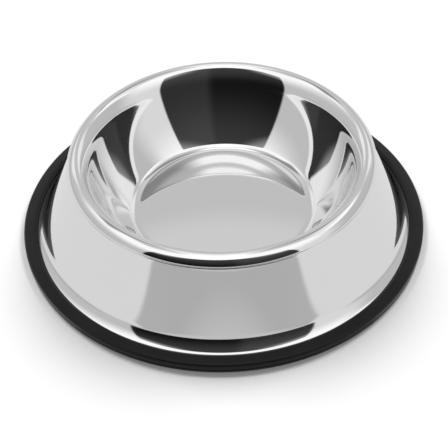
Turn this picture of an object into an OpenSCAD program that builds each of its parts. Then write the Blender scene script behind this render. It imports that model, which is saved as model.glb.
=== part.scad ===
// Non-tip pet bowl: a pressed steel bowl hangs in a conical steel skirt, and the two sheets
// lock together inside a rolled rim. A moulded rubber ring grips the foot of the skirt.
// Every piece is a body of revolution about Z. Z = 0 is the table.

/* [Overall] */
// Widest diameter of the rubber ring
base_d = 254; // [225:1:300]
// Widest diameter of the rolled rim
rim_d = 190.9; // [182:0.1:200]
// Height of the top of the rim over the table
rim_h = 60.3; // [54:0.1:68]
// Thickness of the steel sheet of both pressings
sheet_t = 0.6; // [0.4:0.05:0.8]

/* [Inner bowl] */
// Diameter of the flat part of the floor
floor_d = 112; // [104:0.2:118]
// Height of the floor's upper face over the table
floor_h = 15.3; // [12:0.1:20]
// Radius of the bend between floor and wall
floor_bend_r = 5.5; // [3:0.5:8]
// Radius of the wall, which bulges outward
wall_r = 107; // [95:1:140]
// Radius of the bend that turns the wall out to the rim
brim_r = 20; // [12:1:28]
// Slope at which that bend goes into the roll
brim_slope = 38; // [30:1:46]

/* [Rolled rim] */
// Radius of the top of the roll
roll_top_r = 2.7; // [2.2:0.1:3.2]
// Radius of the flatter outer side of the roll
roll_side_r = 9.3; // [8:0.1:11]
// Radius of the lower edge of the roll
roll_edge_r = 1.1; // [1:0.05:1.6]
// Fall of the sheet below level where the side of the roll starts
roll_top_fall = 24; // [18:1:30]
// Fall of the sheet where the lower edge starts
roll_side_fall = 66; // [62:1:70]
// Fall of the sheet at its tucked end, past straight down and back inward
roll_end_fall = 200; // [190:1:210]
// Length of the straight tucked end
roll_tuck_l = 1.4; // [0.8:0.1:2.2]

/* [Skirt] */
// How far the top of the skirt lies inside the widest radius of the rim
skirt_inset = 0.5; // [0.3:0.1:1.4]
// Slope of the skirt at the top of its flare
skirt_slope = 65.5; // [58:0.5:70]
// Radius of the flare at the foot of the skirt
flare_r = 17; // [10:1:24]
// Slope of the steel where it goes in under the rubber
lip_slope = 35; // [26:1:44]
// Radius of the shoulder under the rim
shoulder_r = 1; // [0.9:0.1:1.6]
// Radius of the bend from the shoulder up into the roll
seam_bend_r = 0.4; // [0.3:0.1:0.8]
// Height of the upright edge inside the roll, over the tucked end
seam_rise = 0.5; // [0.4:0.1:1.2]
// Radius of the hook over the tucked end
hook_r = 0.4; // [0.3:0.1:0.6]
// Turn of the hook
hook_turn = 150; // [120:5:160]
// Length of the straight end of the hook
hook_l = 0.3; // [0.2:0.1:0.5]

/* [Foot flange] */
// Radius of the bend from the flare to the flange
foot_bend_r = 8; // [5:0.5:12]
// Slope of the flange inside the rubber
foot_slope = 8; // [4:1:14]
// Straight length of the flange
foot_run = 1.2; // [0.6:0.1:2]
// Radius of the turned-down edge of the flange
foot_edge_r = 1.1; // [1:0.1:1.4]
// Straight length of the turned-down edge
foot_drop = 0.8; // [0.4:0.1:1.2]

/* [Rubber ring] */
// Width of rubber that shows outside the steel
band_w = 9; // [8.4:0.1:11]
// Height of the steel where it goes in under the rubber
lip_h = 6.1; // [5.4:0.1:7]
// Rounding of the rubber lip where it meets the steel
nose_round = 0.25; // [0.1:0.05:0.25]
// Distance from the steel to the crest of the rubber lip
crest_in = 2.2; // [1.6:0.1:3]
// Height of the crest
crest_h = 7.6; // [7.2:0.1:9]
// Rounding of the crest
crest_round = 1.4; // [0.6:0.1:2]
// Height at which the top face would meet the side
shoulder_h = 6.5; // [6:0.1:7.4]
// Rounding between top face and side
shoulder_round = 1.7; // [0.8:0.1:2]
// Height of the lower end of the side
side_h = 3.2; // [3:0.1:3.8]
// Height of the narrow waist over the foot bead
waist_h = 2.2; // [2:0.1:2.6]
// Depth of the waist behind the side
waist_in = 0.9; // [0.5:0.1:1.3]
// Distance of the foot bead behind the side
foot_in = 0.5; // [0.2:0.1:0.8]
// Rounding of the waist and of the foot bead
foot_round = 0.45; // [0.2:0.05:0.5]
// Full width of the ring, hidden lip included
ring_w = 13.6; // [12.4:0.1:15]
// Height of the hidden inner edge
inner_h = 4.2; // [3.4:0.1:5]
// Rounding of the hidden inner edge
inner_round = 0.8; // [0.3:0.1:1.4]

/* [Grip grooves] */
// Number of grooves in the underside of the ring
grip_count = 4; // [1:1:4]
// Distance between grooves
grip_pitch = 2.4; // [2:0.1:2.6]
// Width of a groove at the table
grip_w = 1.2; // [0.8:0.1:1.5]
// Width of a groove at its bottom
grip_floor_w = 0.7; // [0.4:0.1:0.8]
// Depth of a groove
grip_depth = 0.7; // [0.4:0.1:1]
// Distance from the inner edge of the ring to the middle of the first groove
grip_start = 2.1; // [1.5:0.1:2.6]

/* [Fits] */
// Gap between the sheets of the locked seam
seam_gap = 0.2; // [0.12:0.02:0.3]
// Gap between the flange and its groove in the rubber
groove_gap = 0.15; // [0.05:0.05:0.25]

/* [Hidden] */

// Facets of a full turn, and the largest turn of one facet of a section's bend
around = 180;
bend_step = 5;
level = 0;
upright = 90;
inward = 180;

base_r = base_d / 2;
rim_r = rim_d / 2;

// Hubs of the three bends of the roll, from its lower edge back to its top
edge_hub_r = rim_r - roll_edge_r;
side_to_edge = (roll_side_r - roll_edge_r) * leftward(-roll_side_fall);
top_to_side = (roll_side_r - roll_top_r) * leftward(-roll_top_fall);
top_hub = [edge_hub_r - side_to_edge.x + top_to_side.x, rim_h - roll_top_r];

// The wall's arc runs smoothly out of the floor's bend and into the bend of the brim
floor_hub = [floor_d / 2, floor_h + floor_bend_r];
brim_hub = top_hub - (brim_r - roll_top_r) * leftward(brim_slope);
hub_run = brim_hub - floor_hub;
to_floor_hub = wall_r - floor_bend_r;
to_brim_hub = wall_r + brim_r;
hub_gap = norm(hub_run);
hub_along = (pow(hub_gap, 2) + pow(to_floor_hub, 2) - pow(to_brim_hub, 2)) / 2 / hub_gap;
hub_across = sqrt(pow(to_floor_hub, 2) - pow(hub_along, 2));
run_slope = atan2(hub_run.y, hub_run.x);
wall_hub = floor_hub + hub_along * forward(run_slope) + hub_across * leftward(run_slope);
wall_foot_slope = slope_round(floor_hub);
wall_head_slope = slope_round(brim_hub);

bowl_start = [0, floor_h];
bowl_steps = [
    [floor_d / 2],
    [floor_bend_r, wall_foot_slope],
    [wall_r, wall_head_slope - wall_foot_slope],
    [brim_r, brim_slope - wall_head_slope],
    [roll_top_r, -brim_slope - roll_top_fall],
    [roll_side_r, roll_top_fall - roll_side_fall],
    [roll_edge_r, roll_side_fall - roll_end_fall],
    [roll_tuck_l]
];
tuck_end = trail_end(bowl_start, level, bowl_steps);
tuck_top = tuck_end.y + sheet_t;
roll_bottom = top_hub.y - top_to_side.y + side_to_edge.y - roll_edge_r;

// The skirt starts at the lip of the rubber and goes up its flare and its wall
lip = [base_r - band_w, lip_h];
flare_steps = [[flare_r, lip_slope - skirt_slope]];
flare_end = trail_end(lip, inward - lip_slope, flare_steps);
shelf_h = roll_bottom - seam_gap;
wall_top = [rim_r - skirt_inset, wall_top_h(shelf_h - shoulder_r, 3)];
wall_turn = 2 * (skirt_slope - slope_to(wall_top));
wall_run = norm(wall_top - flare_end);
top_slope = skirt_slope - wall_turn;

// From the shoulder its edge runs in under the roll, up, and over the tucked end
shelf_start_r = wall_top.x - shoulder_r * sin(top_slope);
shelf_end_r = tuck_end.x - seam_gap + seam_bend_r;
seam_steps = [
    [shoulder_r, top_slope],
    [shelf_start_r - shelf_end_r],
    [seam_bend_r, upright - inward],
    [tuck_top + seam_rise - shelf_h - seam_bend_r],
    [hook_r, -hook_turn],
    [hook_l]
];
skirt_steps = concat(flare_steps, bowed_run(wall_run, wall_turn), seam_steps);

// The flange goes out and down from the lip, and its groove follows it
foot_steps = [[foot_bend_r, lip_slope - foot_slope], [foot_run], [foot_edge_r, foot_slope - upright]];
flange_steps = concat(foot_steps, [[foot_drop]]);
groove_steps = concat(foot_steps, [[foot_drop + groove_gap]]);

inner_r = base_r - ring_w;
waist_r = base_r - waist_in;
foot_r = base_r - foot_in;

// Unit vector to the left of a heading
function leftward(heading) = [-sin(heading), cos(heading)];
function forward(heading) = [cos(heading), sin(heading)];
function unit(v) = v / norm(v);
function backward(list) = [for (i = [len(list) - 1 : -1 : 0]) list[i]];

// Slope of the bowl's wall where it passes a hub beside it
function slope_round(hub) = upright + atan2(hub.y - wall_hub.y, hub.x - wall_hub.x);

// Slope of the line from the top of the flare to a point
function slope_to(p) = atan2(p.y - flare_end.y, flare_end.x - p.x);

// Height at which the wall ends, so that the shoulder over it comes up to the shelf
function wall_top_h(h, rounds) = rounds == 0 ? h :
    let (slope = 2 * slope_to([rim_r - skirt_inset, h]) - skirt_slope)
    wall_top_h(shelf_h - shoulder_r * (1 - cos(slope)), rounds - 1);

// A run of a given chord that turns evenly on its way
function bowed_run(chord, turn) = turn == 0 ? [[chord]] : [[chord / 2 / sin(abs(turn) / 2), turn]];

// A section is a trail of steps: [length] is a straight run, [radius, turn] is a bend.
// These give the end of one step and of a whole trail.
function step_turn(step) = len(step) == 1 ? 0 : step[1];
function step_end(p, heading, step) =
    let (turn = step_turn(step), arm = sign(turn) * step[0])
    turn == 0 ? p + step[0] * forward(heading) :
    p + arm * leftward(heading) - arm * leftward(heading + turn);
function trail_end(p, heading, steps, i = 0) = i == len(steps) ? p :
    trail_end(step_end(p, heading, steps[i]), heading + step_turn(steps[i]), steps, i + 1);

// Points along a trail, moved sideways to its left
function step_points(p, heading, step, side) =
    let (
        turn = step_turn(step),
        arm = sign(turn) * step[0],
        hub = p + arm * leftward(heading),
        cuts = ceil(abs(turn) / bend_step)
    )
    turn == 0 ? [step_end(p, heading, step) + side * leftward(heading)] :
    [for (i = [1 : cuts]) hub + (side - arm) * leftward(heading + turn * i / cuts)];
function trail_points(p, heading, steps, side, i = 0) = i == len(steps) ? [] :
    concat(
        step_points(p, heading, steps[i], side),
        trail_points(
            step_end(p, heading, steps[i]), heading + step_turn(steps[i]), steps, side, i + 1
        )
    );
function trail(p, heading, steps, side) =
    concat([p + side * leftward(heading)], trail_points(p, heading, steps, side));

// Points of the round corner b between its neighbours a and c
function round_corner(a, b, c, radius) =
    let (
        u = unit(a - b),
        v = unit(c - b),
        half = acos(u * v) / 2,
        hub = b + unit(u + v) * radius / sin(half),
        from = u * radius / tan(half) + b - hub,
        to = v * radius / tan(half) + b - hub,
        start = atan2(from.y, from.x),
        turn = atan2(from.x * to.y - from.y * to.x, from * to),
        cuts = ceil(abs(turn) / bend_step)
    )
    [for (i = [0 : cuts]) hub + radius * forward(start + turn * i / cuts)];

// An open outline whose corners are [r, z, rounding]; its two ends stay sharp
function rounded(corners) = [
    for (i = [0 : len(corners) - 1])
        let (b = [corners[i].x, corners[i].y])
        each i == 0 || i == len(corners) - 1 || corners[i].z == 0 ? [b] :
            round_corner(
                [corners[i - 1].x, corners[i - 1].y], b,
                [corners[i + 1].x, corners[i + 1].y], corners[i].z
            )
];

module turned(outline) rotate_extrude($fn = around) polygon(outline);

module inner_bowl() {
    face = trail(bowl_start, level, bowl_steps, 0);
    back = trail(bowl_start, level, bowl_steps, -sheet_t);
    color("silver") turned(concat(face, backward(back)));
}

module outer_skirt() {
    face = trail(lip, inward - lip_slope, skirt_steps, 0);
    back = trail(lip, inward - lip_slope, skirt_steps, sheet_t);
    foot_face = trail_points(lip, -lip_slope, flange_steps, 0);
    foot_back = trail_points(lip, -lip_slope, flange_steps, -sheet_t);
    color("gainsboro") turned(concat(backward(foot_face), face, backward(back), foot_back));
}

module rubber_ring() {
    groove_top = trail(lip, -lip_slope, groove_steps, groove_gap);
    groove_floor = trail(lip, -lip_slope, groove_steps, -sheet_t - groove_gap);
    grips = [
        for (i = [grip_count - 1 : -1 : 0])
            let (r = inner_r + grip_start + i * grip_pitch)
            each [
                [r + grip_w / 2, 0, 0],
                [r + grip_floor_w / 2, grip_depth, 0],
                [r - grip_floor_w / 2, grip_depth, 0],
                [r - grip_w / 2, 0, 0]
            ]
    ];
    outside = rounded(concat(
        [
            [groove_top[1].x, groove_top[1].y, 0],
            [groove_top[0].x, groove_top[0].y, nose_round],
            [lip.x + crest_in, crest_h, crest_round],
            [base_r, shoulder_h, shoulder_round],
            [base_r, side_h, foot_round],
            [waist_r, waist_h, foot_round],
            [foot_r, waist_h - waist_in + foot_in, foot_round],
            [foot_r, 0, foot_round]
        ],
        grips,
        [
            [inner_r, 0, foot_round],
            [inner_r, inner_h, inner_round],
            [groove_floor[0].x, groove_floor[0].y, nose_round],
            [groove_floor[1].x, groove_floor[1].y, 0]
        ]
    ));
    color("#2b2b2d")
        turned(concat(outside, [for (i = [2 : len(groove_floor) - 1]) groove_floor[i]],
            [for (i = [len(groove_top) - 1 : -1 : 2]) groove_top[i]]));
}

inner_bowl();
outer_skirt();
rubber_ring();
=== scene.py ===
# %% [markdown]
# # A polished steel dog bowl
#
# This notebook dresses a fixed engineering model of a non-tip pet bowl and photographs it in a
# small studio. The real object is three pieces, all of them turned round one upright axis: a
# pressed steel bowl with a rolled rim, a flared steel skirt that carries it, and a moulded rubber
# ring round the foot. The engineering model gives the true sizes. Blender gives smooth surfaces,
# finishes and light.

# %% Load the fixed frame
import math

import bpy
from mathutils import Matrix, Vector


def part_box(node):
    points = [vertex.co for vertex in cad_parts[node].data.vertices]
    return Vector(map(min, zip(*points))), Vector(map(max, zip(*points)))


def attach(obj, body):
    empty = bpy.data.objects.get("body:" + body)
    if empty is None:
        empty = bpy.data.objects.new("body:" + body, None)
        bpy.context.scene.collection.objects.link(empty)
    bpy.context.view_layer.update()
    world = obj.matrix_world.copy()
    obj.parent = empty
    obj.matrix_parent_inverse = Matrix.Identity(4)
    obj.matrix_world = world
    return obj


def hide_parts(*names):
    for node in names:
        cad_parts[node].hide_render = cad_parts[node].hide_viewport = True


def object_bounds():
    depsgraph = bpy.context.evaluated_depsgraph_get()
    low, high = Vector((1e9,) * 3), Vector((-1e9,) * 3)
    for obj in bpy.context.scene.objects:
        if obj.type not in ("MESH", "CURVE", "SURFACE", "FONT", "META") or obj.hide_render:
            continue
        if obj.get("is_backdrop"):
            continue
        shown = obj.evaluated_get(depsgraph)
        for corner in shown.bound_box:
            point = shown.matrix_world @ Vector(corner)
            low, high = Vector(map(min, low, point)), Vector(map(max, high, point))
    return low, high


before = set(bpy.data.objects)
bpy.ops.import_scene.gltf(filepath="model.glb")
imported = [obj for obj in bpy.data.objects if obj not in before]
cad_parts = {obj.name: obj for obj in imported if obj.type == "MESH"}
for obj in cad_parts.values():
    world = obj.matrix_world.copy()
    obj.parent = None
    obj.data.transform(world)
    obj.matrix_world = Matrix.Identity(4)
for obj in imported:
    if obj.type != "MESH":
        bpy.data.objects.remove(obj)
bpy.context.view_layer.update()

# %% [markdown]
# ## Sizes
#
# Everything is measured in metres, in the frame of the engineering model. The main diameters and
# heights are read from the model's own boxes, so the dressed pieces can't drift from it. The small
# radii of bends and rolls have no box of their own, so they are named here in millimetres, as a
# toolmaker would give them.

# %% Main sizes
MM = 0.001

_, ring_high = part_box("rubber_ring")
bowl_low, bowl_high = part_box("inner_bowl")

sheet_t = 0.6 * MM
base_r = ring_high.x
rim_r = bowl_high.x
rim_h = bowl_high.z
floor_h = bowl_low.z + sheet_t
print("base radius", round(base_r / MM, 2), "rim radius", round(rim_r / MM, 2),
      "rim height", round(rim_h / MM, 2), "floor height", round(floor_h / MM, 2))

# %% [markdown]
# ## Drawing a section like a walk
#
# A piece that is pressed from sheet is easiest to describe as a walk: go straight for so far, then
# bend with this radius by this angle. Both faces of the sheet follow from one walk, because the
# second face is the same walk moved sideways by the sheet's thickness. The walk below gives points
# in a plane: the first number is the distance from the axis, the second is the height.

# %% Walking helpers
LEVEL = 0.0
UPRIGHT = 90.0
INWARD = 180.0


def forward(heading):
    """Unit step in a heading given in degrees, 0 pointing away from the axis."""
    return Vector((math.cos(math.radians(heading)), math.sin(math.radians(heading))))


def leftward(heading):
    """Unit step to the left of a heading."""
    return forward(heading + UPRIGHT)


def straight(length):
    return (length, 0.0)


def bend(radius, turn):
    """A bend to the left where turn is positive."""
    return (radius, turn)


def bend_hub(place, heading, radius, turn):
    return place + math.copysign(radius, turn) * leftward(heading)


def walk(place, heading, steps, side=0.0, fineness=1.0, turn_step=4.0, run_step=2 * MM):
    """Points along the steps, moved to the left by side, with the end place and heading.

    A bend is cut by angle where it is tight and by length where it is wide.
    """
    points = [place + side * leftward(heading)]
    for size, turn in steps:
        if turn == 0.0:
            cuts = max(1, math.ceil(fineness * size / run_step))
            points += [place + size * i / cuts * forward(heading) + side * leftward(heading)
                       for i in range(1, cuts + 1)]
            place = place + size * forward(heading)
        else:
            hub = bend_hub(place, heading, size, turn)
            arm = math.copysign(size, turn)
            by_angle = abs(turn) / turn_step
            by_length = size * math.radians(abs(turn)) / run_step
            cuts = max(2, math.ceil(fineness * max(by_angle, by_length)))
            points += [hub + (side - arm) * leftward(heading + turn * i / cuts)
                       for i in range(1, cuts + 1)]
            place = hub - arm * leftward(heading + turn)
            heading += turn
    return points, place, heading


def closed_section(points):
    """A loop that runs anticlockwise, so that the lathe's faces point outwards."""
    area = sum(a.x * b.y - b.x * a.y for a, b in zip(points, points[1:] + points[:1]))
    return points if area > 0 else points[::-1]


# %% [markdown]
# ## The lathe
#
# All three pieces are turned, so one Geometry Nodes tree makes them all. It takes a section as a
# chain of points and lays it round the axis: a flat grid is made with one column for each point of
# the section and one row for each small turn, and every grid point is moved to its place on the
# turned surface. A modifier such as Screw could turn a section too, but here the tree can also give
# the sheet the faint waves that pressed and polished steel has, which is what makes its reflections
# look real. Seams and poles are merged, and corners sharper than the given angle stay crisp.

# %% Build the lathe tree
def math_node(tree, operation, first, second=None):
    """One maths node; each input is a socket or a number."""
    node = tree.nodes.new("ShaderNodeMath")
    node.operation = operation
    for socket, value in zip(node.inputs, (first, second)):
        if value is None:
            continue
        if isinstance(value, (int, float)):
            socket.default_value = value
        else:
            tree.links.new(value, socket)
    return node.outputs[0]


def lathe_tree():
    """The Geometry Nodes tree that turns a chain of section points round the Z axis."""
    tree = bpy.data.node_groups.new("Lathe", "GeometryNodeTree")
    face = tree.interface
    face.new_socket("Section", in_out="INPUT", socket_type="NodeSocketGeometry")
    face.new_socket("Around", in_out="INPUT", socket_type="NodeSocketInt")
    face.new_socket("Wave Height", in_out="INPUT", socket_type="NodeSocketFloat")
    face.new_socket("Wave Count", in_out="INPUT", socket_type="NodeSocketFloat")
    face.new_socket("Wave Seed", in_out="INPUT", socket_type="NodeSocketFloat")
    face.new_socket("Corner Angle", in_out="INPUT", socket_type="NodeSocketFloat")
    face.new_socket("Finish", in_out="INPUT", socket_type="NodeSocketMaterial")
    face.new_socket("Turned Piece", in_out="OUTPUT", socket_type="NodeSocketGeometry")
    new, link = tree.nodes.new, tree.links.new
    given = new("NodeGroupInput")

    size = new("GeometryNodeAttributeDomainSize")
    link(given.outputs["Section"], size.inputs[0])
    points = size.outputs["Point Count"]

    grid = new("GeometryNodeMeshGrid")
    grid.inputs["Size X"].default_value = 1.0
    grid.inputs["Size Y"].default_value = 1.0
    link(math_node(tree, "ADD", given.outputs["Around"], 1), grid.inputs["Vertices X"])
    link(points, grid.inputs["Vertices Y"])

    where = new("ShaderNodeSeparateXYZ")
    link(new("GeometryNodeInputPosition").outputs[0], where.inputs[0])
    turn = math_node(tree, "MULTIPLY", math_node(tree, "ADD", where.outputs[0], 0.5), math.tau)
    along = math_node(tree, "MULTIPLY", math_node(tree, "ADD", where.outputs[1], 0.5),
                      math_node(tree, "SUBTRACT", points, 1))

    sample = new("GeometryNodeSampleIndex")
    sample.data_type = "FLOAT_VECTOR"
    link(given.outputs["Section"], sample.inputs["Geometry"])
    link(new("GeometryNodeInputPosition").outputs[0], sample.inputs["Value"])
    link(math_node(tree, "ROUND", along), sample.inputs["Index"])
    section = new("ShaderNodeSeparateXYZ")
    link(sample.outputs[0], section.inputs[0])

    turned = new("ShaderNodeCombineXYZ")
    link(math_node(tree, "MULTIPLY", section.outputs[0], math_node(tree, "COSINE", turn)),
         turned.inputs[0])
    link(math_node(tree, "MULTIPLY", section.outputs[0], math_node(tree, "SINE", turn)),
         turned.inputs[1])
    link(section.outputs[2], turned.inputs[2])
    place = new("GeometryNodeSetPosition")
    link(grid.outputs["Mesh"], place.inputs["Geometry"])
    link(turned.outputs[0], place.inputs["Position"])

    merge = new("GeometryNodeMergeByDistance")
    merge.inputs["Distance"].default_value = 0.002 * MM
    link(place.outputs[0], merge.inputs["Geometry"])

    noise = new("ShaderNodeTexNoise")
    noise.noise_dimensions = "4D"
    noise.inputs["Detail"].default_value = 1.0
    link(new("GeometryNodeInputPosition").outputs[0], noise.inputs["Vector"])
    link(given.outputs["Wave Count"], noise.inputs["Scale"])
    link(given.outputs["Wave Seed"], noise.inputs["W"])
    centred = math_node(tree, "SUBTRACT", noise.outputs[0], 0.5)
    lift = new("ShaderNodeVectorMath")
    lift.operation = "SCALE"
    link(new("GeometryNodeInputNormal").outputs[0], lift.inputs[0])
    link(math_node(tree, "MULTIPLY", centred, given.outputs["Wave Height"]), lift.inputs["Scale"])
    wave = new("GeometryNodeSetPosition")
    link(merge.outputs[0], wave.inputs["Geometry"])
    link(lift.outputs[0], wave.inputs["Offset"])

    smooth = new("GeometryNodeSetShadeSmooth")
    smooth.domain = "FACE"
    link(wave.outputs[0], smooth.inputs["Geometry"])
    corner = new("GeometryNodeInputMeshEdgeAngle")
    crisp = new("GeometryNodeSetShadeSmooth")
    crisp.domain = "EDGE"
    crisp.inputs["Shade Smooth"].default_value = False
    link(smooth.outputs[0], crisp.inputs["Geometry"])
    link(math_node(tree, "GREATER_THAN", corner.outputs["Unsigned Angle"],
                   given.outputs["Corner Angle"]), crisp.inputs["Selection"])

    real = new("GeometryNodeRealizeInstances")
    link(crisp.outputs[0], real.inputs[0])
    finish = new("GeometryNodeSetMaterial")
    link(real.outputs[0], finish.inputs["Geometry"])
    link(given.outputs["Finish"], finish.inputs["Material"])
    link(finish.outputs[0], new("NodeGroupOutput").inputs[0])
    return tree


LATHE = lathe_tree()
print("lathe tree built with", len(LATHE.nodes), "nodes")

# %% Use the lathe
def bake(maker, name):
    """A plain mesh object from an object whose modifiers do the making."""
    depsgraph = bpy.context.evaluated_depsgraph_get()
    mesh = bpy.data.meshes.new_from_object(maker.evaluated_get(depsgraph))
    mesh.name = name
    made = bpy.data.objects.new(name, mesh)
    bpy.context.scene.collection.objects.link(made)
    maker.modifiers.clear()
    bpy.data.objects.remove(maker)
    return made


def turn_piece(name, points, finish, around=320, wave=0.0, waves=20.0, seed=1.0, corner=40.0):
    """Turns a chain of section points into a named piece at the origin."""
    chain = bpy.data.meshes.new(name + "_section")
    chain.from_pydata([(p.x, 0.0, p.y) for p in points],
                      [(i, i + 1) for i in range(len(points) - 1)], [])
    maker = bpy.data.objects.new(name + "_maker", chain)
    bpy.context.scene.collection.objects.link(maker)
    modifier = maker.modifiers.new("lathe", "NODES")
    modifier.node_group = LATHE
    values = {"Around": around, "Wave Height": wave, "Wave Count": waves, "Wave Seed": seed,
              "Corner Angle": math.radians(corner), "Finish": finish}
    for item in LATHE.interface.items_tree:
        if item.name in values:
            modifier[item.identifier] = values[item.name]
    piece = bake(maker, name)
    triangles = sum(len(face.vertices) - 2 for face in piece.data.polygons)
    print(name, "turned:", len(points), "section points,", triangles, "triangles")
    return piece


def stand_for(piece, node):
    """The piece takes the place of a node of the engineering model."""
    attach(piece, "root")
    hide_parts(node)


# %% [markdown]
# ## Polished steel
#
# The bowl is mirror polished on a spindle, so the buff leaves very fine marks that run round the
# axis. They are far too fine to see one by one, but they soften a reflection a little and make the
# sheen uneven. The marks are a noise that is stretched round the axis: its coordinates are the
# radius, the height and, much more slowly, the angle. They drive a very small bump and a small
# change of roughness. A larger, fainter cloud stands for handling. Reading the object's own
# coordinates keeps the pattern fixed on the piece.

# %% Steel finish
def new_material(name):
    material = bpy.data.materials.new(name)
    material.use_nodes = True
    tree = material.node_tree
    return material, tree, tree.nodes["Principled BSDF"]


def noise_node(tree, vector, scale, detail=2.0, roughness=0.5):
    noise = tree.nodes.new("ShaderNodeTexNoise")
    noise.inputs["Scale"].default_value = scale
    noise.inputs["Detail"].default_value = detail
    noise.inputs["Roughness"].default_value = roughness
    tree.links.new(vector, noise.inputs["Vector"])
    return noise.outputs[0]


def remap(tree, value, low, high, to_low, to_high, smooth=False):
    """A value moved from one range to another and held within it."""
    node = tree.nodes.new("ShaderNodeMapRange")
    node.interpolation_type = "SMOOTHSTEP" if smooth else "LINEAR"
    tree.links.new(value, node.inputs["Value"])
    for socket, number in zip(node.inputs[1:5], (low, high, to_low, to_high)):
        socket.default_value = number
    return node.outputs[0]


def spun_vector(tree, across, around):
    """Coordinates that vary fast across the turning direction and slowly round it."""
    place = tree.nodes.new("ShaderNodeTexCoord")
    parts = tree.nodes.new("ShaderNodeSeparateXYZ")
    tree.links.new(place.outputs["Object"], parts.inputs[0])
    x, y, z = parts.outputs
    radius = math_node(tree, "SQRT", math_node(tree, "ADD", math_node(tree, "MULTIPLY", x, x),
                                               math_node(tree, "MULTIPLY", y, y)))
    angle = math_node(tree, "ARCTAN2", y, x)
    joined = tree.nodes.new("ShaderNodeCombineXYZ")
    tree.links.new(math_node(tree, "MULTIPLY", radius, across), joined.inputs[0])
    tree.links.new(math_node(tree, "MULTIPLY", angle, around), joined.inputs[1])
    tree.links.new(math_node(tree, "MULTIPLY", z, across), joined.inputs[2])
    return joined.outputs[0], place.outputs["Object"]


STEEL_TINT = (0.8, 0.8, 0.803, 1.0)
MARKS_ACROSS, MARKS_AROUND = 900.0, 2.0
MARK_HEIGHT = 0.00003 * MM
CLOUD_SCALE = 22.0


def steel_finish(name, rough_low, rough_high):
    material, tree, shader = new_material(name)
    spun, place = spun_vector(tree, MARKS_ACROSS, MARKS_AROUND)
    marks = noise_node(tree, spun, 1.0, detail=4.0, roughness=0.6)
    cloud = noise_node(tree, place, CLOUD_SCALE, detail=3.0)
    blend = math_node(tree, "ADD", math_node(tree, "MULTIPLY", marks, 0.5),
                      math_node(tree, "MULTIPLY", cloud, 0.5))
    tree.links.new(remap(tree, blend, 0.35, 0.65, rough_low, rough_high), shader.inputs["Roughness"])
    bump = tree.nodes.new("ShaderNodeBump")
    bump.inputs["Distance"].default_value = MARK_HEIGHT
    bump.inputs["Strength"].default_value = 1.0
    tree.links.new(marks, bump.inputs["Height"])
    tree.links.new(bump.outputs[0], shader.inputs["Normal"])
    shader.inputs["Base Color"].default_value = STEEL_TINT
    shader.inputs["Metallic"].default_value = 1.0
    return material


bowl_steel = steel_finish("bowl_steel", rough_low=0.02, rough_high=0.05)
skirt_steel = steel_finish("skirt_steel", rough_low=0.03, rough_high=0.07)
print("finishes:", bowl_steel.name, skirt_steel.name)

# %% [markdown]
# ## The inner bowl
#
# The bowl is one pressing: a floor that is domed by a few millimetres so that it can't drum, a tight
# bend, a wall that bulges outward, a brim that turns out again, and a rim that is rolled over and
# tucked in under itself. The wall is one large arc that runs smoothly out of the floor's bend and
# into the brim's bend. Its hub is where two circles round the hubs of those bends cross, so its
# place and its slopes are worked out and not typed.

# %% Make the inner bowl
floor_r = 53 * MM
floor_edge_drop = 0.6 * MM
floor_edge_fall = 6.3
floor_bend_r = 7.5 * MM
wall_r = 112 * MM
brim_r = 22.6 * MM
brim_slope = 44.0
roll_inner_r = 7 * MM
roll_inner_slope = 26.0
roll_top_r = 3.1 * MM
roll_side_r = 9.3 * MM
roll_edge_r = 1.1 * MM
roll_tuck = 1.4 * MM
roll_top_fall = 24.0
roll_side_fall = 66.0
roll_end_fall = 200.0

side_to_edge = (roll_side_r - roll_edge_r) * leftward(-roll_side_fall)
top_to_side = (roll_side_r - roll_top_r) * leftward(-roll_top_fall)
top_hub = Vector((rim_r - roll_edge_r - side_to_edge.x + top_to_side.x, rim_h - roll_top_r))

dome_r = floor_r / math.sin(math.radians(floor_edge_fall))
dome_rise = dome_r * (1 - math.cos(math.radians(floor_edge_fall)))
floor_edge = Vector((floor_r, floor_h - floor_edge_drop))
floor_hub = floor_edge + floor_bend_r * leftward(-floor_edge_fall)
inner_roll_hub = top_hub - (roll_inner_r - roll_top_r) * leftward(roll_inner_slope)
brim_hub = inner_roll_hub - (brim_r - roll_inner_r) * leftward(brim_slope)
hub_run = brim_hub - floor_hub
to_floor_hub = wall_r - floor_bend_r
to_brim_hub = wall_r + brim_r
along = (hub_run.length_squared + to_floor_hub ** 2 - to_brim_hub ** 2) / 2 / hub_run.length
across = math.sqrt(to_floor_hub ** 2 - along ** 2)
run_slope = math.degrees(math.atan2(hub_run.y, hub_run.x))
wall_hub = floor_hub + along * forward(run_slope) + across * leftward(run_slope)


def slope_round(hub):
    """Slope of the wall where it passes a hub beside it."""
    return UPRIGHT + math.degrees(math.atan2(hub.y - wall_hub.y, hub.x - wall_hub.x))


foot_wall_slope = slope_round(floor_hub)
head_wall_slope = slope_round(brim_hub)

bowl_start = Vector((0.0, floor_edge.y + dome_rise))
bowl_steps = [
    bend(dome_r, -floor_edge_fall),
    bend(floor_bend_r, floor_edge_fall + foot_wall_slope),
    bend(wall_r, head_wall_slope - foot_wall_slope),
    bend(brim_r, brim_slope - head_wall_slope),
    bend(roll_inner_r, roll_inner_slope - brim_slope),
    bend(roll_top_r, -roll_inner_slope - roll_top_fall),
    bend(roll_side_r, roll_top_fall - roll_side_fall),
    bend(roll_edge_r, roll_side_fall - roll_end_fall),
    straight(roll_tuck),
]
bowl_face, tuck_end, _ = walk(bowl_start, LEVEL, bowl_steps)
bowl_back, _, _ = walk(bowl_start, LEVEL, bowl_steps, side=-sheet_t, fineness=0.4)
bowl_section = closed_section(bowl_face + bowl_back[::-1])
inner_bowl = turn_piece("steel_bowl", bowl_section, bowl_steel, wave=0.03 * MM, waves=26.0, seed=3.0)
stand_for(inner_bowl, "inner_bowl")
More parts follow.
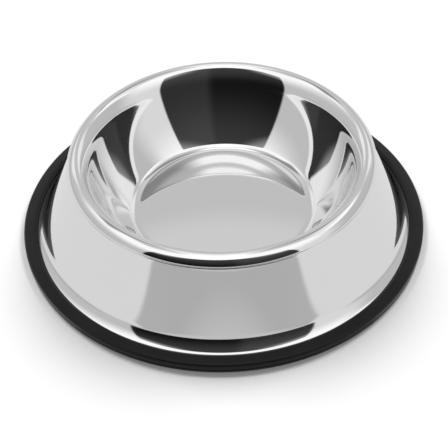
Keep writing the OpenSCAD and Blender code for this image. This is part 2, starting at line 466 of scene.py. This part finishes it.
print("wall slopes", round(foot_wall_slope, 1), "to", round(head_wall_slope, 1), "degrees,",
      "floor domed by", round(dome_rise / MM, 1), "mm")

# %% [markdown]
# ## The skirt
#
# The skirt flares out at its foot, where the rubber grips it, and is very slightly hollow on its
# way up. Under the rim it turns in over a small shoulder, goes up inside the roll and hooks over
# the tucked edge of the bowl: that locked seam is what holds the two sheets together. The walk
# starts where the steel comes out of the rubber and goes both ways from there.

# %% Make the skirt
band_w = 9 * MM
lip_h = 6.1 * MM
lip_slope = 35.0
flare_r = 17 * MM
skirt_slope = 65.5
skirt_inset = 0.5 * MM
shoulder_r = 1 * MM
seam_gap = 0.2 * MM
seam_bend_r = 0.4 * MM
seam_rise = 0.5 * MM
hook_r = 0.4 * MM
hook_turn = 150.0
hook_length = 0.3 * MM
foot_bend_r = 8 * MM
foot_slope = 8.0
foot_run = 1.2 * MM
foot_edge_r = 1.1 * MM
foot_drop = 0.8 * MM

lip = Vector((base_r - band_w, lip_h))
roll_bottom = top_hub.y - top_to_side.y + side_to_edge.y - roll_edge_r
shelf_h = roll_bottom - seam_gap
flare_steps = [bend(flare_r, lip_slope - skirt_slope)]
_, flare_end, _ = walk(lip, INWARD - lip_slope, flare_steps)


def slope_from_flare(place):
    return math.degrees(math.atan2(place.y - flare_end.y, flare_end.x - place.x))


wall_top = Vector((rim_r - skirt_inset, shelf_h - shoulder_r))
for _ in range(3):
    top_slope = 2 * slope_from_flare(wall_top) - skirt_slope
    wall_top.y = shelf_h - shoulder_r * (1 - math.cos(math.radians(top_slope)))
top_slope = 2 * slope_from_flare(wall_top) - skirt_slope
bow_turn = skirt_slope - top_slope
bow_r = (wall_top - flare_end).length / 2 / math.sin(math.radians(abs(bow_turn) / 2))

shelf_start = wall_top.x - shoulder_r * math.sin(math.radians(top_slope))
shelf_end = tuck_end.x - seam_gap + seam_bend_r
up_steps = flare_steps + [
    bend(bow_r, bow_turn),
    bend(shoulder_r, top_slope),
    straight(shelf_start - shelf_end),
    bend(seam_bend_r, UPRIGHT - INWARD),
    straight(tuck_end.y + sheet_t + seam_rise - shelf_h - seam_bend_r),
    bend(hook_r, -hook_turn),
    straight(hook_length),
]
foot_steps = [
    bend(foot_bend_r, lip_slope - foot_slope),
    straight(foot_run),
    bend(foot_edge_r, foot_slope - UPRIGHT),
]
flange_steps = foot_steps + [straight(foot_drop)]

skirt_face, _, _ = walk(lip, INWARD - lip_slope, up_steps)
skirt_back, _, _ = walk(lip, INWARD - lip_slope, up_steps, side=sheet_t, fineness=0.4)
foot_face, _, _ = walk(lip, -lip_slope, flange_steps, fineness=0.6)
foot_back, _, _ = walk(lip, -lip_slope, flange_steps, side=-sheet_t, fineness=0.5)
skirt_section = closed_section(foot_face[:0:-1] + skirt_face + skirt_back[::-1] + foot_back[1:])
outer_skirt = turn_piece("steel_skirt", skirt_section + skirt_section[:1], skirt_steel,
                         wave=0.02 * MM, waves=18.0, seed=7.0)
stand_for(outer_skirt, "outer_skirt")
print("skirt slopes", skirt_slope, "to", round(top_slope, 1), "degrees")

# %% [markdown]
# ## Moulded rubber
#
# The ring is a soft black rubber with a satin skin. Real rubber is never one flat black: the skin
# has a fine grain from the mould, and handling leaves it slightly paler and duller in patches. The
# grain is a fine noise used as bump, and the patches vary the colour and the roughness a little.

# %% Rubber finish
RUBBER_DARK = (0.003, 0.003, 0.0031, 1.0)
RUBBER_PALE = (0.007, 0.007, 0.0072, 1.0)
RUBBER_ROUGHNESS = (0.3, 0.42)
RUBBER_SHEEN = 0.25
GRAIN_SCALE, GRAIN_HEIGHT = 2600.0, 0.02 * MM


def rubber_finish(name):
    material, tree, shader = new_material(name)
    spun, place = spun_vector(tree, across=260.0, around=1.5)
    grain = noise_node(tree, place, GRAIN_SCALE, detail=2.0)
    sweep = noise_node(tree, spun, 1.0, detail=2.0)
    cloud = noise_node(tree, place, 45.0, detail=3.0)
    patches = math_node(tree, "ADD", math_node(tree, "MULTIPLY", sweep, 0.4),
                        math_node(tree, "MULTIPLY", cloud, 0.6))
    mix = tree.nodes.new("ShaderNodeMix")
    mix.data_type = "RGBA"
    mix.inputs["A"].default_value = RUBBER_DARK
    mix.inputs["B"].default_value = RUBBER_PALE
    tree.links.new(remap(tree, patches, 0.35, 0.65, 0.0, 1.0), mix.inputs["Factor"])
    tree.links.new(mix.outputs["Result"], shader.inputs["Base Color"])
    tree.links.new(remap(tree, patches, 0.35, 0.65, *RUBBER_ROUGHNESS), shader.inputs["Roughness"])
    shader.inputs["Specular IOR Level"].default_value = RUBBER_SHEEN
    bump = tree.nodes.new("ShaderNodeBump")
    bump.inputs["Distance"].default_value = GRAIN_HEIGHT
    bump.inputs["Strength"].default_value = 0.5
    tree.links.new(grain, bump.inputs["Height"])
    tree.links.new(bump.outputs[0], shader.inputs["Normal"])
    return material


ring_rubber = rubber_finish("ring_rubber")
print("finish:", ring_rubber.name)

# %% [markdown]
# ## The rubber ring
#
# The ring is stretched over the flange of the skirt, so its groove follows the same walk as the
# flange, with a hair of room on both sides. Outside, it is a moulding with rounded corners, and a
# moulding is easier to describe by its corners than by a walk: each corner has a place and a
# rounding. A waist runs round its side over a small foot bead, and grooves in its underside grip
# the floor.

# %% Make the rubber ring
groove_gap = 0.15 * MM
ring_w = 13.6 * MM
nose_round = 0.25 * MM
crest_in, crest_h, crest_round = 2.2 * MM, 7.6 * MM, 1.4 * MM
shoulder_h, shoulder_round = 6.5 * MM, 1.7 * MM
side_h, waist_h, waist_in = 3.2 * MM, 2.2 * MM, 0.9 * MM
foot_in, foot_round = 0.5 * MM, 0.45 * MM
inner_h, inner_round = 4.2 * MM, 0.8 * MM
grip_count, grip_pitch, grip_start = 4, 2.4 * MM, 2.1 * MM
grip_w, grip_floor_w, grip_depth = 1.2 * MM, 0.7 * MM, 0.7 * MM


def round_corner(before, corner, after, radius, turn_step=9.0):
    """Points of an arc that touches both sides of a corner."""
    u, v = (before - corner).normalized(), (after - corner).normalized()
    half = u.angle(v) / 2
    hub = corner + (u + v).normalized() * radius / math.sin(half)
    start = corner + u * radius / math.tan(half) - hub
    end = corner + v * radius / math.tan(half) - hub
    turn = math.degrees(math.atan2(start.x * end.y - start.y * end.x, start.dot(end)))
    first = math.degrees(math.atan2(start.y, start.x))
    cuts = max(2, math.ceil(abs(turn) / turn_step))
    return [hub + radius * forward(first + turn * i / cuts) for i in range(cuts + 1)]


def rounded(corners):
    """An open outline from (place, rounding) corners; its two ends stay as they are."""
    points = []
    for i, (corner, radius) in enumerate(corners):
        inner = 0 < i < len(corners) - 1
        if inner and radius > 0:
            points += round_corner(corners[i - 1][0], corner, corners[i + 1][0], radius)
        else:
            points.append(corner)
    return points


groove_steps = foot_steps + [straight(foot_drop + groove_gap)]
groove_top, _, _ = walk(lip, -lip_slope, groove_steps, side=groove_gap, fineness=0.5)
groove_floor, _, _ = walk(lip, -lip_slope, groove_steps, side=-sheet_t - groove_gap, fineness=0.5)
inner_r = base_r - ring_w
corners = [
    (groove_top[1], 0.0),
    (groove_top[0], nose_round),
    (Vector((lip.x + crest_in, crest_h)), crest_round),
    (Vector((base_r, shoulder_h)), shoulder_round),
    (Vector((base_r, side_h)), foot_round),
    (Vector((base_r - waist_in, waist_h)), foot_round),
    (Vector((base_r - foot_in, waist_h - waist_in + foot_in)), foot_round),
    (Vector((base_r - foot_in, 0.0)), foot_round),
]
for i in reversed(range(grip_count)):
    middle = inner_r + grip_start + i * grip_pitch
    corners += [
        (Vector((middle + grip_w / 2, 0.0)), 0.0),
        (Vector((middle + grip_floor_w / 2, grip_depth)), 0.0),
        (Vector((middle - grip_floor_w / 2, grip_depth)), 0.0),
        (Vector((middle - grip_w / 2, 0.0)), 0.0),
    ]
corners += [
    (Vector((inner_r, 0.0)), foot_round),
    (Vector((inner_r, inner_h)), inner_round),
    (groove_floor[0], nose_round),
    (groove_floor[1], 0.0),
]
ring_section = closed_section(rounded(corners) + groove_floor[2:] + groove_top[:1:-1])
rubber_ring = turn_piece("rubber_foot_ring", ring_section + ring_section[:1], ring_rubber)
stand_for(rubber_ring, "rubber_ring")

# %% [markdown]
# ## The room in the mirror
#
# A mirror shows nothing but its surroundings, so the look of polished steel is made by the room.
# The room here is a studio whose walls get brighter upwards, most of all to the left and above the
# camera, with a low window to each side behind the bowl. Its ceiling is hung with broad strips of
# white cloth that run from side to side, with a thin grey joint between two of them straight
# overhead. One wide dark card stands on the camera's side, the classic way to draw crisp dark
# shapes on chrome. Every dark shape in the steel is this one card: once in the far wall of the
# bowl, twice or more in its side walls, in the roll of the rim, and in the flare at the foot. Its
# upper corners catch a little light. Its foot is just over the horizon, so the skirt only just
# misses it and shows the grey gap under it instead.
#
# All of it is painted in the world's background by direction: a bearing from the camera's side,
# positive to the right, an elevation above the horizon, and for the ceiling a place on a level
# sheet one unit up. Only mirror rays need it; the camera itself sees plain white.

# %% Helpers for painting tones
def soft_step(tree, value, edge, soft, rising=True):
    """0 before an edge and 1 after it, or the other way round, with a soft crossing."""
    ends = (0.0, 1.0) if rising else (1.0, 0.0)
    return remap(tree, value, edge - soft, edge + soft, *ends, smooth=True)


def mix_tone(tree, factor, first, second):
    """A tone between two; each is a number or a socket."""
    node = tree.nodes.new("ShaderNodeMix")
    sockets = (node.inputs[0], node.inputs[2], node.inputs[3])
    for socket, value in zip(sockets, (factor, first, second)):
        if isinstance(value, (int, float)):
            socket.default_value = value
        else:
            tree.links.new(value, socket)
    return node.outputs[0]


def both(tree, first, second):
    """1 where both masks are 1."""
    return math_node(tree, "MULTIPLY", first, second)


def degrees_of(tree, rise, run):
    """The angle of a slope with this rise and run, from 0 to 360 degrees round."""
    return math_node(tree, "MULTIPLY", math_node(tree, "ARCTAN2", rise, run), 180.0 / math.pi)


def away_from(tree, value, middle):
    """How far a value is from a middle one."""
    return math_node(tree, "ABSOLUTE", math_node(tree, "SUBTRACT", value, middle))


def within(tree, value, low, high, soft):
    """1 between two values, with soft crossings."""
    half_width = (high - low) / 2
    return soft_step(tree, away_from(tree, value, (low + high) / 2), half_width, soft, rising=False)


def tone_strips(tree, value, stops):
    """A tone that changes along a value; the stops are (value, tone) pairs from -1 to 1."""
    ramp = tree.nodes.new("ShaderNodeValToRGB")
    tree.links.new(remap(tree, value, -1.0, 1.0, 0.0, 1.0), ramp.inputs[0])
    spots = ramp.color_ramp.elements
    for spot, (_, tone) in zip((spots[0], spots[-1]), (stops[0], stops[-1])):
        spot.color = (tone, tone, tone, 1.0)
    for place, tone in stops[1:-1]:
        spots.new((place + 1.0) / 2).color = (tone, tone, tone, 1.0)
    return ramp.outputs[0]


# %% Tones in the room
BACK_TONE = 0.64
LEFT_LOW_TONE = 0.62
RIGHT_LOW_TONE = 0.84
FAR_RIGHT_TONE = 0.6
WINDOW_TONE = 1.0
BRIGHT_WALL_TONE = 1.24
HORIZON_TONE = 0.5
SIDE_HORIZON_TONE = 0.55
LEFT_PANEL_TONE = 1.2
RIGHT_CEILING_TONE = 0.95
CARD_LOW_TONE = 0.008
CARD_HIGH_TONE = 0.05
CARD_BAND_TONE = 0.025
CARD_CORNER_TONE = 0.32
GAP_TONE = 0.66

# What the camera sees behind everything, and the even fill that lights the floor and the rubber
CAMERA_WHITE = 1.0
FILL_TONE = 0.3

# Cloth strips from the camera's side to the back: a place on the level sheet and its tone
MIDDLE_STRIPS = [(-1.0, 1.2), (-0.1, 1.35), (-0.03, 0.85), (0.04, 0.85), (0.09, 1.38), (0.26, 1.38),
                 (0.32, 0.8), (0.46, 0.6), (0.53, 1.0), (0.62, 1.0), (0.68, 0.74), (1.0, 0.74)]
SIDE_STRIPS = [(-1.0, 1.2), (-0.22, 1.2), (-0.08, 0.7), (0.12, 0.62), (0.3, 0.36), (0.58, 0.32),
               (0.68, 0.74), (1.0, 0.74)]
print("brightest strip", max(tone for _, tone in MIDDLE_STRIPS), "darkest card", CARD_LOW_TONE)

# %% Places in the room
# A range is its two ends and its softness, and an edge is its place and its softness. Walls and
# card are given in degrees, the ceiling in steps on the level sheet.
BRIGHT_WALL = (-125.0, 80.0, 12.0)
HIGH_WALL_EDGE = (34.0, 16.0)
RIGHT_WALL_EDGE = (0.0, 20.0)
FAR_RIGHT_WALL = (80.0, 125.0, 10.0)
FAR_RIGHT_HIGH_EDGE = (36.0, 4.0)
WINDOW_SIDES = (133.0, 154.0, 4.0)
WINDOW_HEIGHTS = (14.0, 38.0, 4.0)
WALL_FOOT_EDGE = (7.0, 5.0)
WALL_FOOT_SIDE_EDGE = (72.0, 8.0)

CEILING_EDGE = (46.0, 4.0)
MIDDLE_PART = (-0.25, 0.14, 0.07)
LEFT_PANEL_ACROSS = (-2.0, -0.6, 0.1)
LEFT_PANEL_ALONG = (-1.0, 0.2, 0.1)
RIGHT_PART_ACROSS = (0.6, 2.0, 0.1)
RIGHT_PART_ALONG = (-0.15, 0.5, 0.08)

CARD_SIDES = (-53.5, 48.5, 1.0)
CARD_FOOT_EDGE = (3.4, 0.5)
CARD_TOP_EDGE = (55.0, 1.5)
CARD_SHADE_EDGE = (28.0, 24.0)
CARD_BAND_EDGE = (8.0, 5.0)
CARD_CORNERS_MIDDLE = -4.0
CARD_CORNERS_SIDE_EDGE = (30.0, 12.0)
CARD_CORNERS_LOW_EDGE = (48.5, 5.0)
GAP_SIDES = (-46.5, 46.5, 1.0)
GAP_BRIGHT_HEIGHT = 1.4
print("the card is", CARD_SIDES[1] - CARD_SIDES[0], "degrees wide and the gap under it",
      GAP_SIDES[1] - GAP_SIDES[0])

# %% Paint the room
world = bpy.data.worlds.new("studio_room")
bpy.context.scene.world = world
world.use_nodes = True
room = world.node_tree
room.nodes.clear()
axes = room.nodes.new("ShaderNodeSeparateXYZ")
room.links.new(room.nodes.new("ShaderNodeTexCoord").outputs["Generated"], axes.inputs[0])
to_right, to_back, to_top = axes.outputs
to_front = math_node(room, "MULTIPLY", to_back, -1.0)
bearing = degrees_of(room, to_right, to_front)
elevation = math_node(room, "MULTIPLY", math_node(room, "ARCSINE", to_top), 180.0 / math.pi)
card_rise = degrees_of(room, to_top, to_front)

bright_wall = within(room, bearing, *BRIGHT_WALL)
high = soft_step(room, elevation, *HIGH_WALL_EDGE)
low_tone = mix_tone(room, soft_step(room, bearing, *RIGHT_WALL_EDGE), LEFT_LOW_TONE, RIGHT_LOW_TONE)
bright_tone = mix_tone(room, high, low_tone, BRIGHT_WALL_TONE)
far_right = within(room, bearing, *FAR_RIGHT_WALL)
far_right_high = soft_step(room, elevation, *FAR_RIGHT_HIGH_EDGE)
far_right_tone = mix_tone(room, far_right_high, FAR_RIGHT_TONE, BRIGHT_WALL_TONE)
dull_tone = mix_tone(room, far_right, BACK_TONE, far_right_tone)
walls = mix_tone(room, bright_wall, dull_tone, bright_tone)
to_either_side = away_from(room, bearing, 0.0)
windows = both(room, within(room, to_either_side, *WINDOW_SIDES),
               within(room, elevation, *WINDOW_HEIGHTS))
walls = mix_tone(room, windows, walls, WINDOW_TONE)
foot = both(room, soft_step(room, elevation, *WALL_FOOT_EDGE, rising=False),
            soft_step(room, to_either_side, *WALL_FOOT_SIDE_EDGE))
walls = mix_tone(room, foot, walls, SIDE_HORIZON_TONE)

sideways = math_node(room, "DIVIDE", to_right, to_top)
backward = math_node(room, "DIVIDE", to_back, to_top)
side_ceiling = tone_strips(room, backward, SIDE_STRIPS)
middle_ceiling = tone_strips(room, backward, MIDDLE_STRIPS)
ceiling = mix_tone(room, within(room, sideways, *MIDDLE_PART), side_ceiling, middle_ceiling)
left_panel = both(room, within(room, sideways, *LEFT_PANEL_ACROSS),
                  within(room, backward, *LEFT_PANEL_ALONG))
ceiling = mix_tone(room, left_panel, ceiling, LEFT_PANEL_TONE)
right_part = both(room, within(room, sideways, *RIGHT_PART_ACROSS),
                  within(room, backward, *RIGHT_PART_ALONG))
ceiling = mix_tone(room, right_part, ceiling, RIGHT_CEILING_TONE)
open_room = mix_tone(room, soft_step(room, elevation, *CEILING_EDGE), walls, ceiling)

between_sides = within(room, bearing, *CARD_SIDES)
over_foot = soft_step(room, elevation, *CARD_FOOT_EDGE)
under_top = soft_step(room, card_rise, *CARD_TOP_EDGE, rising=False)
card_tone = mix_tone(room, soft_step(room, elevation, *CARD_SHADE_EDGE),
                     CARD_LOW_TONE, CARD_HIGH_TONE)
band = mix_tone(room, soft_step(room, bearing, *CARD_BAND_EDGE), 0.0, CARD_BAND_TONE)
card_tone = math_node(room, "ADD", card_tone, band)
from_card_middle = away_from(room, bearing, CARD_CORNERS_MIDDLE)
lit_corners = both(room, soft_step(room, from_card_middle, *CARD_CORNERS_SIDE_EDGE),
                   soft_step(room, card_rise, *CARD_CORNERS_LOW_EDGE))
card_tone = mix_tone(room, lit_corners, card_tone, CARD_CORNER_TONE)
under_card = both(room, within(room, bearing, *GAP_SIDES),
                  soft_step(room, elevation, *CARD_FOOT_EDGE, rising=False))
gap_tone = remap(room, elevation, 0.0, GAP_BRIGHT_HEIGHT, HORIZON_TONE, GAP_TONE)
room_tone = mix_tone(room, under_card, open_room, gap_tone)
on_card = both(room, both(room, between_sides, under_top), over_foot)
room_tone = mix_tone(room, on_card, room_tone, card_tone)

rays = room.nodes.new("ShaderNodeLightPath")
mirror = math_node(room, "MAXIMUM", rays.outputs["Is Glossy Ray"],
                   rays.outputs["Is Transmission Ray"])
unseen = mix_tone(room, mirror, FILL_TONE, room_tone)
shown = mix_tone(room, rays.outputs["Is Camera Ray"], unseen, CAMERA_WHITE)
background = room.nodes.new("ShaderNodeBackground")
room.links.new(shown, background.inputs["Color"])
room.links.new(background.outputs[0], room.nodes.new("ShaderNodeOutputWorld").inputs[0])
print("room painted with", len(room.nodes), "nodes")

# %% [markdown]
# ## Floor and lights
#
# The bowl stands on a plain white sweep. It must look white to the camera and still hold the soft
# shadow of the ring, so it is an ordinary diffuse white with a little glow for camera rays only.
# In the mirror of the steel it is not lit but shows a painted glow. That glow is greyer, most of all
# in the wedge before the dark card, where it is painted shade.
#
# Two broad soft lights stand behind the bowl, one to each side, so its soft shadow lies in front of
# the ring and a little to both sides. They are suns with a wide angle, because a sun lights the
# whole sweep evenly. Their strength, the fill and the glow add up to white on the sweep.

# %% Floor and lights
FLOOR_SIZE = 60.0
FLOOR_WHITE = 0.85
FLOOR_GLOW = 0.05
# In mirrors the floor is not lit: these are the tones of its painted glow, and the wedge tone is
# painted shade of the dark card.
MIRROR_NEAR_TONE = 0.82
MIRROR_FAR_TONE = 0.56
MIRROR_CARD_SHADE_TONE = 0.52
WEDGE_SIDE_EDGE = (45.0, 1.5)
FAR_SIDE_EDGE = (75.0, 15.0)
NEAR_EDGE = (1.0, 0.8)
NEAREST = 1.2
LIGHT_BEARINGS = (-145.0, 145.0)
LIGHT_ELEVATION = 46.0
LIGHT_ANGLE = 24.0
LIGHT_STRENGTH = 1.85

floor_mesh = bpy.data.meshes.new("floor")
half = FLOOR_SIZE / 2
floor_mesh.from_pydata([(-half, -half, 0), (half, -half, 0), (half, half, 0), (-half, half, 0)],
                       [], [(0, 1, 2, 3)])
floor = bpy.data.objects.new("floor", floor_mesh)
bpy.context.scene.collection.objects.link(floor)


def floor_finish():
    """White to the camera; in mirrors a painted glow whose tone depends on bearing and on 1 over the
    distance, with painted shade in the wedge before the card.
    """
    material, tree, shader = new_material("white_sweep")
    place = tree.nodes.new("ShaderNodeTexCoord").outputs["Object"]
    parts = tree.nodes.new("ShaderNodeSeparateXYZ")
    tree.links.new(place, parts.inputs[0])
    x, y, _ = parts.outputs
    far = tree.nodes.new("ShaderNodeVectorMath")
    far.operation = "LENGTH"
    tree.links.new(place, far.inputs[0])
    to_front = math_node(tree, "MULTIPLY", y, -1.0)
    bearing = away_from(tree, degrees_of(tree, x, to_front), 0.0)
    wedge = soft_step(tree, bearing, *WEDGE_SIDE_EDGE, rising=False)
    nearness = math_node(tree, "DIVIDE", 1.0, far.outputs["Value"])
    to_side = soft_step(tree, bearing, *FAR_SIDE_EDGE)
    far_tone = mix_tone(tree, to_side, MIRROR_NEAR_TONE, MIRROR_FAR_TONE)
    open_tone = mix_tone(tree, soft_step(tree, nearness, *NEAR_EDGE), far_tone, MIRROR_NEAR_TONE)
    # Painted shade: in mirrors the wedge before the dark card is painted darker, as if the card
    # shaded the floor there.
    card_shade_tone = remap(tree, nearness, 0.0, NEAREST, HORIZON_TONE, MIRROR_CARD_SHADE_TONE)
    mirror_glow = mix_tone(tree, wedge, open_tone, card_shade_tone)
    rays = tree.nodes.new("ShaderNodeLightPath")
    in_mirror = rays.outputs["Is Glossy Ray"]
    seen = rays.outputs["Is Camera Ray"]
    tree.links.new(mix_tone(tree, in_mirror, FLOOR_WHITE, 0.0), shader.inputs["Base Color"])
    glow = mix_tone(tree, in_mirror, mix_tone(tree, seen, 0.0, FLOOR_GLOW), mirror_glow)
    tree.links.new(glow, shader.inputs["Emission Strength"])
    shader.inputs["Emission Color"].default_value = (1.0, 1.0, 1.0, 1.0)
    shader.inputs["Roughness"].default_value = 1.0
    shader.inputs["Specular IOR Level"].default_value = 0.0
    return material


floor_mesh.materials.append(floor_finish())
floor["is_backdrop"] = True


def soft_light(name, bearing, elevation):
    """A soft light from a bearing and an elevation, both in degrees, that no mirror shows."""
    data = bpy.data.lights.new(name, "SUN")
    data.energy = LIGHT_STRENGTH
    data.angle = math.radians(LIGHT_ANGLE)
    light = bpy.data.objects.new(name, data)
    light.rotation_euler = (math.radians(UPRIGHT - elevation), 0.0, math.radians(bearing))
    light.visible_glossy = False
    bpy.context.scene.collection.objects.link(light)
    return light


for side, light_bearing in zip(("left", "right"), LIGHT_BEARINGS):
    soft_light("soft_light_" + side, light_bearing, LIGHT_ELEVATION)
print("floor laid and", len(LIGHT_BEARINGS), "lights hung")

# %% [markdown]
# ## The camera
#
# The photograph looks down at the bowl from the front with a long lens. The camera's place and
# lens were worked out from the ellipses of the rim, the ring and the floor.

# %% Place the camera
CAMERA_PLACE = Vector((0.24, -700.21, 659.79)) * MM
CAMERA_DIP = 43.333
CAMERA_ROLL = -1.84
FOCAL_PIXELS = 1500.15
FRAME_PIXELS = 448.0
SENSOR_WIDTH = 36.0

camera_data = bpy.data.cameras.new("camera")
camera_data.sensor_width = SENSOR_WIDTH
camera_data.lens = FOCAL_PIXELS / FRAME_PIXELS * SENSOR_WIDTH
camera_data.clip_start = 0.05
camera = bpy.data.objects.new("camera", camera_data)
dip = Matrix.Rotation(math.radians(UPRIGHT - CAMERA_DIP), 4, "X")
roll = Matrix.Rotation(math.radians(CAMERA_ROLL), 4, "Z")
camera.matrix_world = Matrix.Translation(CAMERA_PLACE) @ dip @ roll
bpy.context.scene.collection.objects.link(camera)
bpy.context.scene.camera = camera
bpy.context.scene.view_settings.view_transform = "Standard"
print("camera", round(CAMERA_PLACE.length, 3), "m away, lens", round(camera_data.lens, 1), "mm")

# %% [markdown]
# ## Mirrors in mirrors
#
# Low on its left and right sides the bowl shows itself many times over. A ray that is cut off
# while it still runs from wall to wall leaves a black sliver there, so mirror rays may run on.

# %% Let mirror rays run on
MIRROR_BOUNCES = 32

light_paths = bpy.context.scene.cycles
light_paths.max_bounces = MIRROR_BOUNCES
light_paths.glossy_bounces = MIRROR_BOUNCES
print("mirror rays may run", light_paths.glossy_bounces, "times from wall to wall")

# %% [markdown]
# ## The size of the dressed pieces
#
# The dressed pieces must stay inside the engineering model's box, so the size of the dressed scene
# is printed in millimetres.

# %% Print the size
low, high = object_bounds()
print("visual size in mm", [round(side / MM, 2) for side in high - low])
